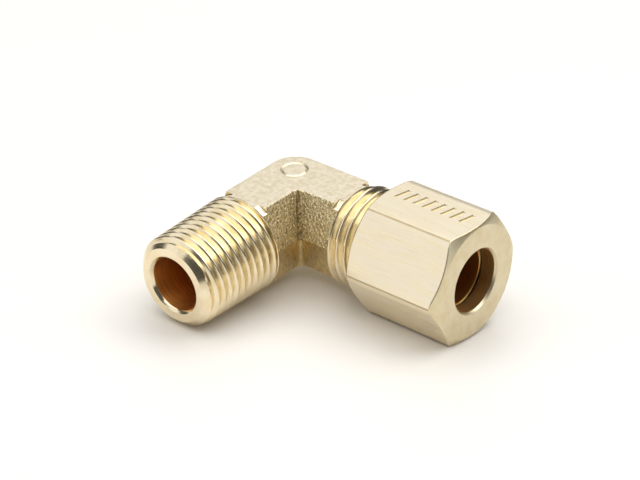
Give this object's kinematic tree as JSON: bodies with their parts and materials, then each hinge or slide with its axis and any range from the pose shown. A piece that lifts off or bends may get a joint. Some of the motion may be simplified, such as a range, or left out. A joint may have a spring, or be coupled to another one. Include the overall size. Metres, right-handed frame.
{
  "type": "compression fitting",
  "caption": "Brass 90 degree male elbow: taper pipe thread on one leg, hexagon compression nut and loose sleeve on the other.",
  "frame": {"origin": "where the axis of the tube leg crosses the axis of the pipe leg", "axes": "+X along the tube leg, out of the nut; -Y along the pipe leg, out of the taper thread; +Z square to both, out of the upper pad"},
  "size_m": [0.0292, 0.0265, 0.0128],
  "materials": {
    "forged_brass": "forged sides with a fine grain, bright turned threads",
    "nut_brass": "satin bar stock with a turned end face",
    "sleeve_brass": "bright turned"
  },
  "bodies": {
    "elbow": {"elbow_body": "forged_brass"},
    "sleeve": {"sleeve": "sleeve_brass"},
    "nut": {"compression_nut": "nut_brass"}
  },
  "joints": [
    {"name": "sleeve_slide", "type": "slide", "parent": "elbow", "child": "sleeve", "axis": [1, 0, 0], "range_m": [-0.0003, 0.0049]},
    {"name": "nut_spin", "type": "hinge", "parent": "sleeve", "child": "nut", "pos_m": [0.018, 0, 0], "axis": [1, 0, 0], "range_deg": [-90, 1620]}
  ],
  "couplings": [
    {"joint": "sleeve_slide", "follows": "nut_spin", "m_per_rad": 0.00016843}
  ]
}
